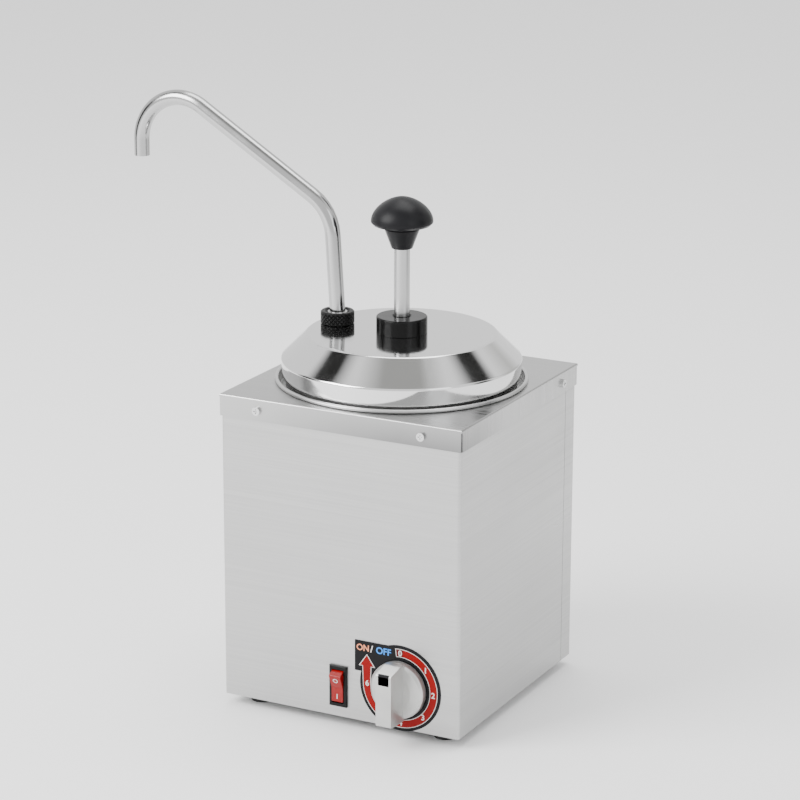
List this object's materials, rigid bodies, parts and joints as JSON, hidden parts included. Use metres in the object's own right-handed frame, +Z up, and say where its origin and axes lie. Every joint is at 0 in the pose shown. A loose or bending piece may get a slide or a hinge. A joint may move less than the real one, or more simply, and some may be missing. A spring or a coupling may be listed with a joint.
{
  "type": "nacho cheese dispenser",
  "caption": "Countertop heated cheese dispenser: square steel housing, domed polished lid, plunger pump with swivelling hooked spout, thermostat knob and rocker switch.",
  "frame": {"origin": "middle of the overall box at the level that the feet stand on", "axes": "+Z up, the front panel with switch and dial faces -Y, the spout points to -X at rest"},
  "size_m": [0.3204, 0.225, 0.4297],
  "materials": {
    "brushed_steel": "satin",
    "tank_steel": "satin",
    "polished_steel": "mirror polished",
    "element_steel": "heat tinted",
    "screw_steel": "bright",
    "black_knob": "satin",
    "black_collar": "gloss",
    "foot_rubber": "matt",
    "seal_rubber": "matt",
    "pump_plastic": "satin",
    "black_plastic": "satin",
    "ceramic": "matt",
    "terminal_brass": "bright",
    "dial_label": "printed satin",
    "silver_plastic": "satin silver",
    "black_inlay": "gloss",
    "red_rocker": "translucent gloss",
    "wire_sheath": "satin",
    "earth_sheath": "satin"
  },
  "bodies": {
    "housing": {"housing_wrap": "brushed_steel", "rear_panel": "brushed_steel", "top_cover": "brushed_steel", "base_plate": "brushed_steel", "foot_front_left": "foot_rubber", "foot_front_right": "foot_rubber", "foot_rear_left": "foot_rubber", "foot_rear_right": "foot_rubber", "bath_tank": "tank_steel", "deck_screws": "screw_steel", "rear_panel_screws": "screw_steel", "base_screws": "screw_steel", "foot_screws": "screw_steel", "foot_nuts": "screw_steel", "heating_element": "element_steel", "heater_clamp": "brushed_steel", "clamp_nut": "screw_steel", "thermal_cutout": "ceramic", "thermostat_body": "black_plastic", "thermostat_screws": "screw_steel", "thermostat_bulb": "element_steel", "dial_plate": "dial_label", "switch_housing": "black_plastic", "switch_terminals": "terminal_brass", "cord_gland": "black_plastic", "gland_locknut": "black_plastic", "terminal_block": "black_plastic", "terminal_screws": "screw_steel", "earth_lug": "screw_steel", "earth_screw": "screw_steel", "line_wire": "wire_sheath", "switched_wire": "wire_sheath", "heater_wire": "wire_sheath", "jumper_wire": "wire_sheath", "neutral_wire": "wire_sheath", "earth_wire": "earth_sheath"},
    "pot": {"food_pot": "tank_steel"},
    "lid_pump": {"lid": "polished_steel", "pump_collar": "black_collar", "lid_gasket": "seal_rubber", "pump_barrel": "pump_plastic", "valve_body": "pump_plastic", "discharge_riser": "polished_steel", "riser_locknut": "screw_steel", "union_seal": "seal_rubber", "union_nut": "black_collar", "return_spring": "screw_steel"},
    "plunger": {"plunger_rod": "polished_steel", "plunger_knob": "black_knob", "piston": "pump_plastic", "piston_seal": "seal_rubber", "piston_nut": "screw_steel"},
    "spout": {"spout_tube": "polished_steel", "spout_ferrule": "polished_steel"},
    "thermostat_dial": {"thermostat_knob": "silver_plastic", "knob_pointer": "black_inlay", "thermostat_spindle": "screw_steel"},
    "rocker_arm": {"rocker": "red_rocker"},
    "suction_valve": {"suction_ball": "screw_steel"},
    "discharge_valve": {"discharge_ball": "screw_steel"}
  },
  "joints": [
    {"name": "pot_lift", "type": "slide", "parent": "housing", "child": "pot", "axis": [0, 0, 1], "range_m": [0, 0.165]},
    {"name": "lid_lift", "type": "slide", "parent": "pot", "child": "lid_pump", "axis": [0, 0, 1], "range_m": [0, 0.18]},
    {"name": "plunger_stroke", "type": "slide", "parent": "lid_pump", "child": "plunger", "axis": [0, 0, -1], "range_m": [0, 0.046], "stiffness_N_per_m": 300, "springref_m": -0.04, "deforming": ["return_spring"]},
    {"name": "spout_swivel", "type": "hinge", "parent": "lid_pump", "child": "spout", "pos_m": [0.0097, 0.0085, 0.278], "axis": [0, 0, 1], "continuous": true},
    {"name": "thermostat_turn", "type": "hinge", "parent": "housing", "child": "thermostat_dial", "pos_m": [0.1112, -0.0865, 0.0386], "axis": [0, 1, 0], "range_deg": [0, 268]},
    {"name": "rocker_tilt", "type": "hinge", "parent": "housing", "child": "rocker_arm", "pos_m": [0.0618, -0.0861, 0.0313], "axis": [-1, 0, 0], "range_deg": [0, 24]},
    {"name": "suction_lift", "type": "slide", "parent": "lid_pump", "child": "suction_valve", "axis": [0, 0, 1], "range_m": [0, 0.0025]},
    {"name": "discharge_lift", "type": "slide", "parent": "lid_pump", "child": "discharge_valve", "axis": [0, 0, 1], "range_m": [0, 0.0025]}
  ]
}
